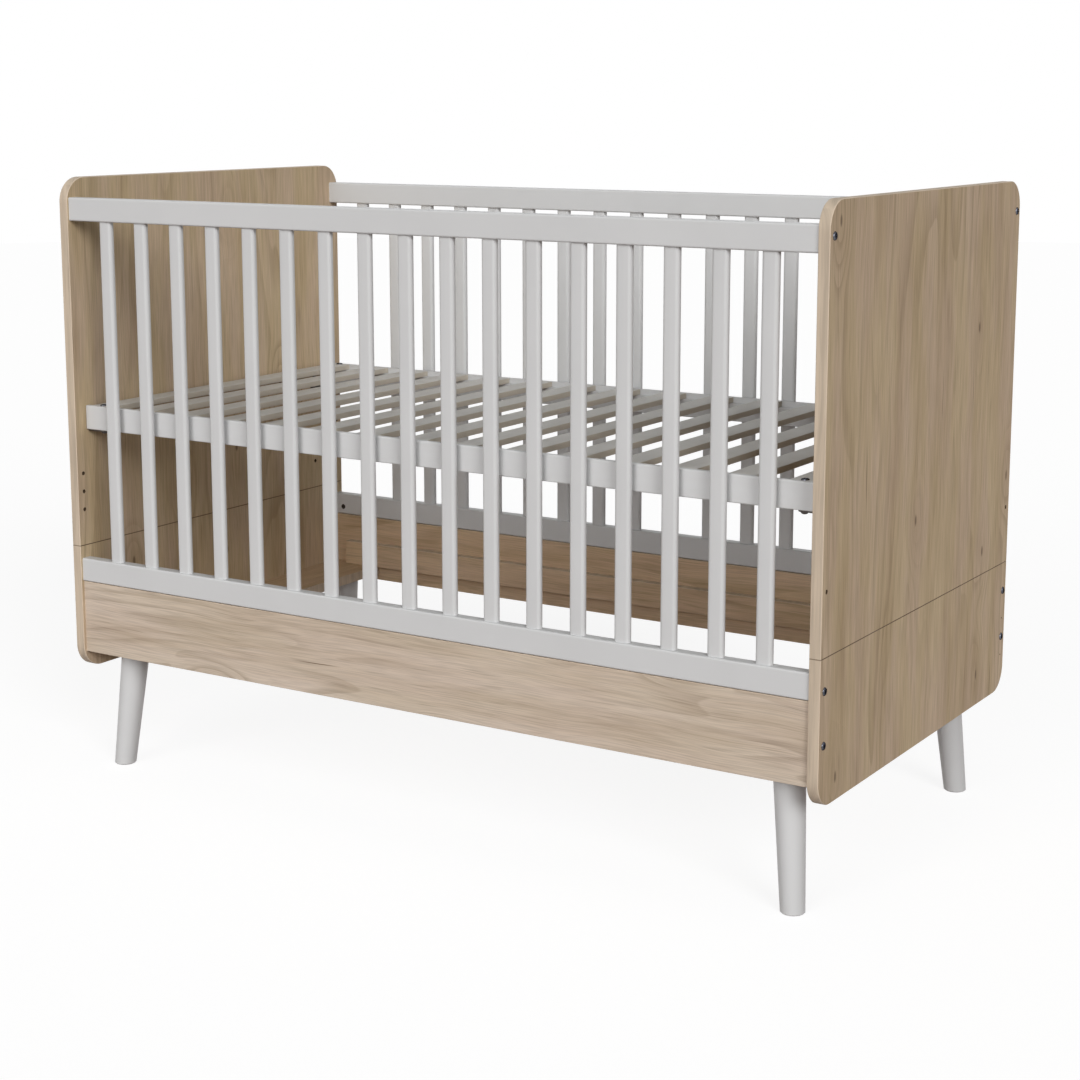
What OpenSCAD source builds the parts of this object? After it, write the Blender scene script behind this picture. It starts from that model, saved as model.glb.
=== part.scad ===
// Baby crib for a mattress of 1400 x 700 mm.
// Two panelled ends stand on four splayed legs. A top rail, a bottom rail and a row of bars
// close each long side above an apron. The slatted base bolts to the ends by four brackets,
// and in its lowest setting it lies on the ledgers behind the aprons.
// Millimetres. The origin is on the floor under the middle of the crib, +X runs along its
// length, +Z is up and the front faces -Y.

/* [Overall] */
// Length between the inner faces of the end panels
inner_l = 1400; // [1200:1:1600]
// Depth of the end panels, front edge to rear edge
panel_d = 748; // [650:1:900]

/* [End panels] */
// Thickness of the end panels
panel_t = 18; // [16:0.5:25]
// Height of panel above the top rail
panel_head = 33.5; // [10:0.5:100]
// Height of panel below the apron
panel_foot = 31; // [10:1:60]
// Radius of the panel's four corners
corner_r = 42; // [10:1:70]
// Height of the joint between the two halves above the bottom rail
seam_up = 22; // [10:1:60]
// Bevel on the edges of the boards
arris = 1; // [0.4:0.1:2]
// Bevel on the edges that meet at the joint between the halves
seam_arris = 0.6; // [0.2:0.1:1.5]

/* [Rails] */
// Thickness of the rails
rail_t = 21; // [18:0.5:28]
// Height of the top rails
top_rail_h = 40; // [34:0.5:60]
// Height of the bottom rails
bottom_rail_h = 41; // [34:0.5:60]
// Distance of the rail's face behind the panel's edge
rail_set = 4; // [1:0.5:15]
// Rounding of the long edges of the rails
rail_r = 3; // [1:0.5:6]

/* [Bars] */
// Width of a bar along the crib
bar_w = 27; // [18:0.5:35]
// Thickness of a bar
bar_t = 12; // [8:0.5:14]
// Length of bar to be seen between the rails
bar_l = 589.5; // [450:0.5:700]
// Distance from one bar to the next
bar_pitch = 78; // [60:0.5:90]
// Depth of the mortises that hold the bars
mortise_deep = 10; // [6:0.5:14]
// Clearance of a bar in its mortise
mortise_fit = 0.15; // [0.05:0.05:0.4]

/* [Aprons] */
// Thickness of the aprons
apron_t = 18; // [16:0.5:22]
// Height of the aprons
apron_h = 127; // [110:1:160]
// Distance of the apron's face behind the rail's face
apron_set = 2; // [0:0.5:4]
// Shadow gap between apron and bottom rail
apron_gap = 1; // [0.5:0.1:4]
// Height of apron below the leg boards
apron_drop = 12.5; // [0:0.5:25]

/* [Ledgers] */
// Thickness of the ledgers
ledger_t = 18; // [14:0.5:25]
// Height of the ledgers
ledger_h = 46; // [30:0.5:60]
// Distance of a ledger's end from the end panel
ledger_end = 40; // [25:1:60]

/* [Leg boards] */
// Thickness of the leg boards
board_t = 18; // [16:0.5:25]
// Width of the leg boards along the crib
board_w = 110; // [100:1:160]

/* [Legs] */
// Height of the legs
leg_h = 222.5; // [150:0.5:300]
// Diameter of a leg at the top
leg_top_d = 50; // [40:0.5:60]
// Diameter of a leg at the floor
leg_foot_d = 37.5; // [25:0.5:45]
// Distance from the end panel to the middle of a leg's top
leg_in_x = 60; // [45:0.5:75]
// Distance from the apron to the middle of a leg's top
leg_in_y = 46; // [45:0.5:90]
// Lean of the legs, outwards along the diagonal
leg_splay = 7; // [0:0.5:10]
// Bevel round the foot
foot_bevel = 1.5; // [0.5:0.1:3]

/* [Base] */
// Height of the base rails above the ledgers at the top setting
base_lift = 319; // [220:1:360]
// Thickness of the base rails
base_rail_t = 20; // [18:0.5:28]
// Height of the base rails
base_rail_h = 42; // [30:0.5:55]
// Gap between base rail and side
base_side_gap = 1; // [1:0.5:6]
// Gap between base rail and end panel
base_end_gap = 1; // [0.5:0.5:6]
// Rounding of the long edges of the base rails
base_rail_r = 2; // [0.5:0.5:4]
// Width of the step that carries the slats
rebate_w = 12; // [10:0.5:14]
// Number of slats
slat_count = 15; // [9:1:17]
// Width of a slat
slat_w = 42; // [30:0.5:60]
// Thickness of a slat
slat_t = 10; // [8:0.5:14]
// Gap between the outermost slat and the end panel
slat_end_gap = 9; // [8:0.5:14]
// Rounding of the long edges of the slats
slat_r = 1.5; // [0.5:0.5:3]
// Clearance at the end of a slat
slat_fit = 0.3; // [0.1:0.1:1]

/* [Brackets] */
// Thickness of the bracket steel
bracket_t = 3; // [2:0.5:4]
// Radius of the bracket's eye under the base rail
eye_r = 9; // [8:0.5:11]
// Width of the bracket's upright tab
tab_w = 24; // [18:0.5:26]
// Width of the bracket's arm along the panel
arm_w = 18; // [12:0.5:22]
// Distance from the base rail's bolt to the panel's bolt
bracket_reach = 45.5; // [36:0.5:60]
// Height of the panel's bolt above the bracket's underside
bracket_hole_up = 12; // [10:0.5:16]
// Gap between bracket and panel
bracket_gap = 0.3; // [0.1:0.1:0.5]
// Drop from the top setting of the base to the middle one
base_step = 160; // [120:1:180]

/* [Fasteners] */
// Diameter of the bolts
bolt_d = 6; // [5:0.5:8]
// Clearance round a bolt in wood or steel
bolt_fit = 0.25; // [0.1:0.05:0.5]
// Clearance round a bolt in its nut
thread_fit = 0.1; // [0.05:0.05:0.2]
// Diameter of the bolt heads
head_d = 12.5; // [11:0.5:15]
// Height of the domed bolt heads
head_h = 2.4; // [2:0.1:4]
// Width across the flats of the hexagon sockets
socket_w = 4; // [3:0.5:5]
// Depth of the hexagon sockets
socket_deep = 1.8; // [1:0.1:1.9]
// Distance of the top rail's bolts below its upper edge
top_bolt_down = 16; // [14:0.5:18]
// Distance of the bottom rail's bolts above its lower edge
bottom_bolt_up = 14.5; // [12:0.5:18]
// Height of the apron's bolts above its lower edge
apron_bolt_up = 62.5; // [50:0.5:80]
// Diameter of the barrel nuts in the bottom rails
barrel_d = 10; // [9:0.5:12]
// Length of barrel nut past the bolt's axis
barrel_past = 5.5; // [4:0.5:7]
// Distance of the barrel nuts from the end panel
barrel_in = 22; // [18:0.5:30]
// Length of the slot in the end of a barrel nut
slot_l = 8; // [4:0.5:8.5]
// Width of that slot
slot_w = 1.2; // [0.8:0.1:2]
// Depth of that slot
slot_deep = 1; // [0.5:0.1:2]
// Clearance round a barrel nut
barrel_fit = 0.1; // [0.05:0.05:0.3]
// Length of bolt past the barrel nut
bolt_past = 3; // [1:0.5:6]
// Outer diameter of the threaded inserts in the ends of top rails and aprons
end_insert_d = 10; // [9:0.5:12]
// Length of those inserts
end_insert_l = 20; // [12:0.5:25]
// Diameter of the domed nuts under the base
nut_d = 12; // [10:0.5:15]
// Height of the domed nuts
nut_h = 4.5; // [4:0.5:8]
// Length of bolt in a domed nut
nut_grip = 2.5; // [1.5:0.5:3]
// Diameter of the dowels
dowel_d = 8; // [6:0.5:8]
// Length of dowel in each half of an end panel
panel_dowel_l = 20; // [15:0.5:22]
// Number of dowels between the two halves of an end panel
panel_dowels_n = 4; // [2:1:4]
// Distance between those dowels
panel_dowel_pitch = 180; // [100:1:220]
// Length of dowel in the end panel
dowel_in_panel = 12; // [8:0.5:13]
// Length of dowel in the rail or apron
dowel_in_rail = 18; // [12:0.5:30]
// Distance between a rail's bolt and its dowel
rail_dowel_off = 14; // [12:0.5:15]
// Distance between an apron's bolt and its dowels
apron_dowel_off = 32; // [20:0.5:42]
// Clearance round a dowel
dowel_fit = 0.1; // [0.05:0.05:0.2]
// Diameter of the studs that hold the legs
stud_d = 8; // [6:0.5:10]
// Length of stud in the leg
stud_in_leg = 40; // [25:1:60]
// Outer diameter of the threaded inserts in the leg boards
insert_d = 12; // [11:0.5:14]
// Length of the threaded inserts
insert_l = 14; // [10:0.5:15]
// Diameter of the screws between leg board and ledger
screw_d = 4; // [3:0.5:5]
// Diameter of the countersunk screw heads
screw_head_d = 8; // [6:0.5:9]
// Length of those screws
screw_l = 35; // [25:1:45]
// Distance of those screws from the ends of board and ledger
screw_edge = 17.5; // [8:0.5:22]

/* [Spare holes] */
// Diameter of the holes in the inner faces of the end panels
hole_d = 7; // [5:0.5:9]
// Depth of the blind ones
hole_deep = 12; // [8:0.5:14]
// Height of a guard rail's bolt holes above the bottom rail
guard_up = 117.5; // [100:0.5:160]
// Distance between a guard rail's bolt hole and its dowel holes
guard_pitch = 32; // [25:1:40]
// Diameter of the pin holes behind the rear apron's dowels
pin_d = 3; // [2:0.5:4]

/* [Hidden] */
$fn = 64;
over = 1;
floor_gap = 0.5;

half_l = inner_l / 2;
half_d = panel_d / 2;

// Heights of the pieces, stacked from the floor up
ledger_z = leg_h + board_t;
ledger_top = ledger_z + ledger_h;
apron_z = leg_h - apron_drop;
bottom_rail_z = apron_z + apron_h + apron_gap;
bar_z = bottom_rail_z + bottom_rail_h;
seam_z = bar_z + seam_up;
top_rail_z = bar_z + bar_l;
panel_z = apron_z - panel_foot;
panel_top = top_rail_z + top_rail_h + panel_head;
base_z = ledger_top + base_lift;
slat_z = base_z + base_rail_h - slat_t;

// Distances from the middle plane of the crib to the rear side
rail_face_y = half_d - rail_set;
rail_y = rail_face_y - rail_t / 2;
rail_in_y = rail_face_y - rail_t;
apron_face_y = rail_face_y - apron_set;
apron_y = apron_face_y - apron_t / 2;
apron_in_y = apron_face_y - apron_t;
base_face_y = min(rail_in_y, apron_in_y) - base_side_gap;
base_in_y = base_face_y - base_rail_t;
slat_end_y = base_in_y + rebate_w - slat_fit;
leg_x = half_l - leg_in_x;
leg_y = apron_in_y - leg_in_y;
screw_y = apron_in_y - ledger_t / 2;

// Bars and slats
bars_each_way = floor((half_l - bar_w) / bar_pitch);
bar_hidden = mortise_deep - floor_gap;
slat_edge_x = half_l - slat_end_gap;
slat_last_x = slat_edge_x - slat_w / 2;
slat_pitch = 2 * slat_last_x / (slat_count - 1);

// Bolts, nuts and dowels
top_bolt_z = top_rail_z + top_rail_h - top_bolt_down;
bottom_bolt_z = bottom_rail_z + bottom_bolt_up;
apron_bolt_z = apron_z + apron_bolt_up;
PANEL_BOLTS = [[rail_y, top_bolt_z], [rail_y, bottom_bolt_z], [apron_y, apron_bolt_z]];
RAIL_DOWELS = [[rail_y, top_bolt_z - rail_dowel_off], [rail_y, bottom_bolt_z + rail_dowel_off]];
APRON_DOWELS = [for (s = [-1, 1]) [apron_y, apron_bolt_z + s * apron_dowel_off]];
barrel_x = half_l - barrel_in;
bolt_end_x = barrel_x - barrel_d / 2 - bolt_past;
stud_in_board = insert_l + floor_gap;
SCREWS_X = [half_l - board_w + screw_edge, half_l - ledger_end - screw_edge];

// The base's bolts and brackets
base_bolt_y = base_in_y + rebate_w / 2;
bracket_y = base_bolt_y - bracket_reach;
bracket_z = base_z - bracket_t;
bracket_hole_z = bracket_z + bracket_hole_up;
plate_x = half_l - bracket_gap;

// Names of the nodes
function two_digits(i) = i < 10 ? str("0", i) : str(i);
function slat_name(i) = str("slat_", two_digits(i));
function corner_name(what, c) =
    str(what, c.y < 0 ? "_front" : "_rear", c.x < 0 ? "_left" : "_right");
CORNERS = [[-1, -1], [1, -1], [-1, 1], [1, 1]];

// ---------------------------------------------------------------- shared shapes

// The same thing at the right and mirrored to the left
module left_and_right() {
    for (m = [0, 1]) mirror([m, 0, 0]) children();
}

// The same thing at the rear and mirrored to the front
module front_and_rear() {
    for (m = [0, 1]) mirror([0, m, 0]) children();
}

// A piece of the rear right corner, brought to corner c
module at_corner(c) {
    mirror([c.x < 0 ? 1 : 0, 0, 0]) mirror([0, c.y < 0 ? 1 : 0, 0]) children();
}

// Rectangle with rounded corners, its middle at the origin
module rounded_rect(w, h, r) {
    square([w - 2 * r, h], center = true);
    square([w, h - 2 * r], center = true);
    for (x = [-1, 1], y = [-1, 1])
        translate([x * (w / 2 - r), y * (h / 2 - r)]) circle(r);
}

// Straight bar along X with a rounded section, w across Y and h up from z = 0
module rail_blank(l, w, h, r) {
    translate([-l / 2, 0, h / 2]) rotate([90, 0, 90])
        linear_extrude(l) rounded_rect(w, h, r);
}

// Section of a bar: a rectangle with two half-round edges, grown by a clearance
module bar_section(fit) {
    square([bar_w - bar_t, bar_t + 2 * fit], center = true);
    for (s = [-1, 1]) translate([s * (bar_w - bar_t) / 2, 0]) circle(bar_t / 2 + fit);
}

// Cylinder along X from x = 0 to x = l
module rod_x(l, d) {
    rotate([0, 90, 0]) cylinder(h = l, d = d);
}

// Cap of a ball standing on z = 0
module dome(d, h) {
    ball_r = (d * d / 4 + h * h) / (2 * h);
    intersection() {
        translate([0, 0, h - ball_r]) sphere(ball_r);
        cylinder(h = h + over, d = d + over);
    }
}

// Bolt with a domed socket head above z = 0 and its shank below
module bolt(l) {
    difference() {
        dome(head_d, head_h);
        translate([0, 0, head_h - socket_deep])
            cylinder(h = socket_deep + over, d = socket_w / cos(30), $fn = 6);
    }
    translate([0, 0, -l]) cylinder(h = l, d = bolt_d);
}

// ---------------------------------------------------------------- end panels

// Section of a 45-degree edge cut: x runs in from the edge and y down from the face
module arris_section(e) {
    polygon([[-over, -over], [e + over, -over], [-over, e + over]]);
}

// Half an end panel lying in XY: the joint is at y = 0, the round corners are at y = h
module half_outline(h) {
    translate([-half_d, 0]) square([panel_d, h - corner_r]);
    translate([corner_r - half_d, 0]) square([panel_d - 2 * corner_r, h]);
    for (s = [-1, 1])
        translate([s * (half_d - corner_r), h - corner_r]) circle(corner_r);
}

// Edge cuts round the face at z = 0
module face_arris(h) {
    left_and_right() {
        translate([half_d, h - corner_r, 0]) rotate([90, 0, 0])
            linear_extrude(h - corner_r + over) mirror([1, 0]) arris_section(arris);
        translate([half_d - corner_r, h - corner_r, 0]) rotate_extrude(angle = 90)
            translate([corner_r, 0]) mirror([1, 0]) arris_section(arris);
    }
    translate([corner_r - half_d, h, 0]) rotate([90, 0, 90])
        linear_extrude(panel_d - 2 * corner_r) mirror([1, 0]) arris_section(arris);
    translate([-half_d - over, 0, 0]) rotate([90, 0, 90])
        linear_extrude(panel_d + 2 * over) arris_section(seam_arris);
}

module half_blank(h) {
    difference() {
        linear_extrude(panel_t) half_outline(h);
        face_arris(h);
        translate([0, 0, panel_t]) mirror([0, 0, 1]) face_arris(h);
    }
}

// Hole in the inner face of the right end panel
module panel_hole(y, z, d, deep) {
    translate([half_l - over, y, z]) rod_x(deep + over, d);
}

module panel_bolt_holes() {
    front_and_rear() for (p = PANEL_BOLTS)
        panel_hole(p[0], p[1], bolt_d + 2 * bolt_fit, panel_t + over);
}

module panel_side_dowel_holes() {
    front_and_rear() for (p = concat(RAIL_DOWELS, APRON_DOWELS))
        panel_hole(p[0], p[1], dowel_d + 2 * dowel_fit, dowel_in_panel + floor_gap);
    for (p = APRON_DOWELS)
        panel_hole(p[0], p[1], pin_d, panel_t + over);
}

// Holes of the bracket bolts, one for each setting of the base
module bracket_holes() {
    front_and_rear() for (drop = [0, base_step])
        panel_hole(bracket_y, bracket_hole_z - drop, hole_d, hole_deep);
}

// Column of holes beside the bars for a guard rail: its bolt goes through the middle one
module guard_rail_holes() {
    front_and_rear() {
        panel_hole(rail_y, bar_z + guard_up, hole_d, panel_t + over);
        for (s = [-1, 1])
            panel_hole(rail_y, bar_z + guard_up + s * guard_pitch, hole_d, hole_deep);
    }
}

module seam_dowels(l, d) {
    for (i = [0:panel_dowels_n - 1])
        translate([half_l + panel_t / 2, (i - (panel_dowels_n - 1) / 2) * panel_dowel_pitch, seam_z])
            cylinder(h = 2 * l, d = d, center = true);
}

module end_panel_upper() {
    color("burlywood") difference() {
        translate([half_l, 0, seam_z]) rotate([90, 0, 90]) half_blank(panel_top - seam_z);
        panel_bolt_holes();
        panel_side_dowel_holes();
        bracket_holes();
        guard_rail_holes();
        seam_dowels(panel_dowel_l + floor_gap, dowel_d + 2 * dowel_fit);
    }
}

module end_panel_lower() {
    color("burlywood") difference() {
        translate([half_l, 0, seam_z]) mirror([0, 0, 1]) rotate([90, 0, 90])
            half_blank(seam_z - panel_z);
        panel_bolt_holes();
        panel_side_dowel_holes();
        seam_dowels(panel_dowel_l + floor_gap, dowel_d + 2 * dowel_fit);
    }
}

module panel_dowels() {
    color("wheat") left_and_right() seam_dowels(panel_dowel_l, dowel_d);
}

// ---------------------------------------------------------------- rails, bars and aprons

// Bolt and dowel holes at both ends of a rail or apron of the rear side
module end_holes(y, bolt_z, dowels) {
    left_and_right() {
        translate([bolt_end_x - bolt_past, y, bolt_z])
            rod_x(half_l - bolt_end_x + bolt_past + over, bolt_d + 2 * bolt_fit);
        for (p = dowels)
            translate([half_l - dowel_in_rail - floor_gap, p[0], p[1]])
                rod_x(dowel_in_rail + floor_gap + over, dowel_d + 2 * dowel_fit);
    }
}

// Seats of the threaded inserts at both ends of a top rail or apron
module insert_seats(y, bolt_z) {
    left_and_right() translate([half_l - end_insert_l - 2 * floor_gap, y, bolt_z])
        rod_x(end_insert_l + 2 * floor_gap + over, end_insert_d + 2 * thread_fit);
}

// Seats of the barrel nuts at both ends of the bottom rail
module barrel_seats() {
    left_and_right() translate([barrel_x, rail_in_y - over, bottom_bolt_z]) rotate([-90, 0, 0])
        cylinder(h = rail_t / 2 + barrel_past + floor_gap + over, d = barrel_d + 2 * barrel_fit);
}

module bar_row(l, fit) {
    for (i = [-bars_each_way:bars_each_way])
        translate([i * bar_pitch, rail_y, 0]) linear_extrude(l) bar_section(fit);
}

module top_rail() {
    color("white") difference() {
        translate([0, rail_y, top_rail_z]) rail_blank(inner_l, rail_t, top_rail_h, rail_r);
        translate([0, 0, top_rail_z - over]) bar_row(mortise_deep + over, mortise_fit);
        end_holes(rail_y, top_bolt_z, [RAIL_DOWELS[0]]);
        insert_seats(rail_y, top_bolt_z);
    }
}

module bottom_rail() {
    color("white") difference() {
        translate([0, rail_y, bottom_rail_z]) rail_blank(inner_l, rail_t, bottom_rail_h, rail_r);
        translate([0, 0, bar_z - mortise_deep]) bar_row(mortise_deep + over, mortise_fit);
        end_holes(rail_y, bottom_bolt_z, [RAIL_DOWELS[1]]);
        barrel_seats();
    }
}

module bars() {
    color("white") translate([0, 0, bar_z - bar_hidden]) bar_row(bar_l + 2 * bar_hidden, 0);
}

module apron() {
    color("burlywood") difference() {
        translate([0, apron_y, apron_z]) rail_blank(inner_l, apron_t, apron_h, arris);
        end_holes(apron_y, apron_bolt_z, APRON_DOWELS);
        insert_seats(apron_y, apron_bolt_z);
    }
}

// Dowels between the end panels and the long sides
module side_dowels(places) {
    color("wheat") left_and_right() front_and_rear() for (p = places)
        translate([half_l - dowel_in_rail, p[0], p[1]])
            rod_x(dowel_in_rail + dowel_in_panel, dowel_d);
}

module panel_bolts() {
    color("darkslategray") left_and_right() front_and_rear() for (p = PANEL_BOLTS)
        translate([half_l + panel_t, p[0], p[1]]) rotate([0, 90, 0])
            bolt(half_l + panel_t - bolt_end_x);
}

// Barrel nuts of the bottom rails, with their slotted ends flush with the rails' inner faces
module barrel_nuts() {
    color("darkslategray") left_and_right() front_and_rear()
        translate([barrel_x, rail_in_y, bottom_bolt_z]) difference() {
            rotate([-90, 0, 0]) cylinder(h = rail_t / 2 + barrel_past, d = barrel_d);
            translate([-barrel_d, rail_t / 2, 0]) rod_x(2 * barrel_d, bolt_d + 2 * thread_fit);
            cube([slot_l, 2 * slot_deep, slot_w], center = true);
        }
}

// Threaded inserts that take the bolts of the top rails and aprons
module end_inserts() {
    color("silver") left_and_right() front_and_rear()
        for (p = [[rail_y, top_bolt_z], [apron_y, apron_bolt_z]])
            translate([half_l - end_insert_l - floor_gap, p[0], p[1]]) difference() {
                rod_x(end_insert_l, end_insert_d);
                translate([-over, 0, 0]) rod_x(end_insert_l + 2 * over, bolt_d + 2 * thread_fit);
            }
}

// ---------------------------------------------------------------- ledgers, leg boards and legs

// Countersunk screw with its head's face at z = 0 and its shank above, grown by a clearance
module screw(fit) {
    cone_h = (screw_head_d - screw_d) / 2;
    cylinder(h = cone_h, d1 = screw_head_d + 2 * fit, d2 = screw_d + 2 * fit);
    cylinder(h = screw_l + (fit > 0 ? floor_gap : 0), d = screw_d + 2 * fit);
}

module board_screw_row(fit) {
    left_and_right() front_and_rear() for (x = SCREWS_X)
        translate([x, screw_y, leg_h]) screw(fit);
}

module ledger() {
    color("burlywood") difference() {
        translate([0, apron_in_y - ledger_t / 2, ledger_z])
            rail_blank(inner_l - 2 * ledger_end, ledger_t, ledger_h, arris);
        board_screw_row(thread_fit);
    }
}

module leg_board() {
    color("burlywood") difference() {
        translate([half_l - board_w, -apron_in_y, leg_h]) cube([board_w, 2 * apron_in_y, board_t]);
        board_screw_row(thread_fit);
        front_and_rear() translate([leg_x, leg_y, leg_h - over])
            cylinder(h = stud_in_board + floor_gap + over, d = insert_d + 2 * thread_fit);
    }
}

// Tapered leg of the rear right corner, leaning outwards and cut level at both ends
module leg_blank() {
    slant = leg_h / cos(leg_splay);
    taper = (leg_top_d - leg_foot_d) / 2 / slant;
    extra = leg_top_d;
    foot_out = leg_h * tan(leg_splay) / sqrt(2);
    intersection() {
        translate([leg_x, leg_y, leg_h]) rotate([0, -leg_splay, 45])
            translate([0, 0, -slant - extra])
                cylinder(h = slant + 2 * extra, r1 = leg_foot_d / 2 - taper * extra,
                         r2 = leg_top_d / 2 + taper * extra);
        translate([leg_x - leg_top_d, leg_y - leg_top_d, 0])
            cube([2 * leg_top_d + foot_out, 2 * leg_top_d + foot_out, leg_h]);
        translate([leg_x + foot_out, leg_y + foot_out, 0])
            cylinder(h = leg_h, r1 = leg_foot_d / 2 - foot_bevel,
                     r2 = leg_foot_d / 2 - foot_bevel + leg_h);
    }
}

module leg() {
    color("white") difference() {
        leg_blank();
        translate([leg_x, leg_y, leg_h - stud_in_leg - floor_gap])
            cylinder(h = stud_in_leg + floor_gap + over, d = stud_d + 2 * thread_fit);
    }
}

module leg_studs() {
    color("silver") left_and_right() front_and_rear()
        translate([leg_x, leg_y, leg_h - stud_in_leg])
            cylinder(h = stud_in_leg + insert_l, d = stud_d);
}

module leg_inserts() {
    color("silver") left_and_right() front_and_rear() translate([leg_x, leg_y, leg_h]) difference() {
        cylinder(h = insert_l, d = insert_d);
        translate([0, 0, -over]) cylinder(h = insert_l + 2 * over, d = stud_d + 2 * thread_fit);
    }
}

module board_screws() {
    color("silver") board_screw_row(0);
}

// ---------------------------------------------------------------- slatted base

// Holes for the four upright bolts of the base
module base_bolt_holes() {
    left_and_right() front_and_rear() translate([slat_last_x, base_bolt_y, bracket_z - over])
        cylinder(h = base_rail_h + bracket_t + 2 * over, d = bolt_d + 2 * bolt_fit);
}

module base_rail() {
    rail_l = inner_l - 2 * base_end_gap;
    color("white") difference() {
        translate([0, base_in_y + base_rail_t / 2, base_z])
            rail_blank(rail_l, base_rail_t, base_rail_h, base_rail_r);
        translate([-rail_l / 2 - over, base_in_y - over, slat_z])
            cube([rail_l + 2 * over, rebate_w + over, slat_t + over]);
        base_bolt_holes();
    }
}

module slat(i) {
    x = (i - (slat_count + 1) / 2) * slat_pitch;
    color("gainsboro") difference() {
        translate([x, slat_end_y, slat_z + slat_t / 2]) rotate([90, 0, 0])
            linear_extrude(2 * slat_end_y) rounded_rect(slat_w, slat_t, slat_r);
        base_bolt_holes();
    }
}

// Bracket of the rear right corner: a flat arm under the base rail and a tab on the panel
module bracket() {
    color("dimgray") difference() {
        union() {
            translate([0, 0, bracket_z]) linear_extrude(bracket_t) {
                translate([slat_last_x, base_bolt_y]) circle(eye_r);
                translate([slat_last_x, base_bolt_y - eye_r])
                    square([plate_x - slat_last_x, 2 * eye_r]);
                translate([plate_x - arm_w, bracket_y - tab_w / 2])
                    square([arm_w, base_bolt_y + eye_r - bracket_y + tab_w / 2]);
            }
            translate([plate_x - bracket_t, bracket_y - tab_w / 2, bracket_z])
                cube([bracket_t, tab_w, bracket_hole_up]);
            translate([plate_x - bracket_t, bracket_y, bracket_hole_z]) rod_x(bracket_t, tab_w);
        }
        base_bolt_holes();
        translate([plate_x - bracket_t - over, bracket_y, bracket_hole_z])
            rod_x(bracket_t + 2 * over, bolt_d + 2 * bolt_fit);
    }
}

module base_bolts() {
    color("darkslategray") left_and_right() front_and_rear()
        translate([slat_last_x, base_bolt_y, base_z + base_rail_h])
            bolt(base_rail_h + bracket_t + nut_grip);
}

// Domed nuts under the brackets
module base_nuts() {
    color("dimgray") left_and_right() front_and_rear()
        translate([slat_last_x, base_bolt_y, bracket_z]) mirror([0, 0, 1]) difference() {
            dome(nut_d, nut_h);
            translate([0, 0, -over])
                cylinder(h = nut_grip + floor_gap + over, d = bolt_d + 2 * thread_fit);
        }
}

// Bolts of the brackets' tabs, ending at the panel so that the base can be raised and lowered
module bracket_bolts() {
    color("silver") left_and_right() front_and_rear()
        translate([plate_x - bracket_t, bracket_y, bracket_hole_z]) rotate([0, -90, 0])
            bolt(bracket_t);
}

// ---------------------------------------------------------------- nodes

mirror([1, 0, 0]) end_panel_upper();  // end_panel_left_upper
mirror([1, 0, 0]) end_panel_lower();  // end_panel_left_lower
end_panel_upper();  // end_panel_right_upper
end_panel_lower();  // end_panel_right_lower
panel_dowels();
mirror([0, 1, 0]) top_rail();  // top_rail_front
top_rail();  // top_rail_rear
mirror([0, 1, 0]) bottom_rail();  // bottom_rail_front
bottom_rail();  // bottom_rail_rear
mirror([0, 1, 0]) bars();  // bars_front
bars();  // bars_rear
mirror([0, 1, 0]) apron();  // apron_front
apron();  // apron_rear
side_dowels(RAIL_DOWELS);  // rail_dowels
side_dowels(APRON_DOWELS);  // apron_dowels
mirror([0, 1, 0]) ledger();  // ledger_front
ledger();  // ledger_rear
mirror([1, 0, 0]) leg_board();  // leg_board_left
leg_board();  // leg_board_right
for (c = CORNERS)
    at_corner(c) leg();
leg_studs();
leg_inserts();
board_screws();
panel_bolts();
barrel_nuts();
end_inserts();
mirror([0, 1, 0]) base_rail();  // base_rail_front
base_rail();  // base_rail_rear
for (i = [1:slat_count])
    slat(i);
for (c = CORNERS)
    at_corner(c) bracket();
base_bolts();
base_nuts();
bracket_bolts();
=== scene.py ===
"""Baby crib: finishes, bars, slats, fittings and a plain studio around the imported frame."""

import math

import bmesh
import bpy
from bpy.props import FloatProperty, FloatVectorProperty, IntProperty, PointerProperty
from bpy.types import Operator, Panel, PropertyGroup
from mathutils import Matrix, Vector


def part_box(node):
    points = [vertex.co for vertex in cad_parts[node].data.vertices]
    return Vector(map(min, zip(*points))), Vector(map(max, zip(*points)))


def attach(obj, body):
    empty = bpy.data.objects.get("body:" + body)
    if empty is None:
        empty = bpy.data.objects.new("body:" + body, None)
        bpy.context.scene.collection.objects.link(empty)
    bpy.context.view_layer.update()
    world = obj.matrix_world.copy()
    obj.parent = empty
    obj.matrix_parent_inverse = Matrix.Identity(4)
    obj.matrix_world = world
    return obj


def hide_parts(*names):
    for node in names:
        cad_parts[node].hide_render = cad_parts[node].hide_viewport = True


bl_info = {
    "name": "Baby crib",
    "version": (1, 0, 0),
    "blender": (4, 5, 0),
    "location": "View3D > Sidebar > Crib",
    "description": "Oak-effect boards, white bars, slats and fittings of a baby crib",
    "category": "Object",
}

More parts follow.
